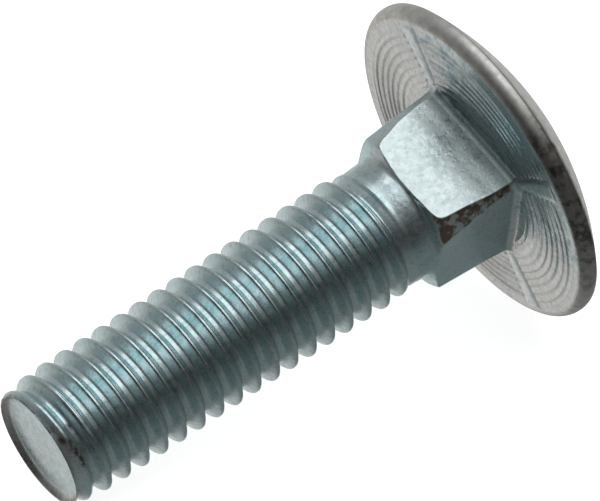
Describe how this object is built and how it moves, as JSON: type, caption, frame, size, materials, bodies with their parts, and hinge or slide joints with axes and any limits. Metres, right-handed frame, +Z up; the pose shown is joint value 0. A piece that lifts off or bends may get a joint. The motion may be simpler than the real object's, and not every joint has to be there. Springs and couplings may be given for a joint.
{
  "type": "carriage bolt",
  "caption": "Short carriage bolt with a low domed round head, a square neck under it and a threaded shank almost to the neck, zinc plated.",
  "frame": {"origin": "bottom centre of the lying bolt's box, on the surface it lies on", "axes": "+X along the lying bolt from the thread's tip towards the head, +Z up; the bolt's own axis rises 12.1 degrees above +X because it lies on its head's rim and its tip"},
  "size_m": [0.0338, 0.0198, 0.0194],
  "materials": {
    "zinc_plate": "clear-blue passivated zinc plate, satin, with slight stains at the tip"
  },
  "bodies": {
    "root": {"carriage_bolt": "zinc_plate"}
  },
  "joints": []
}
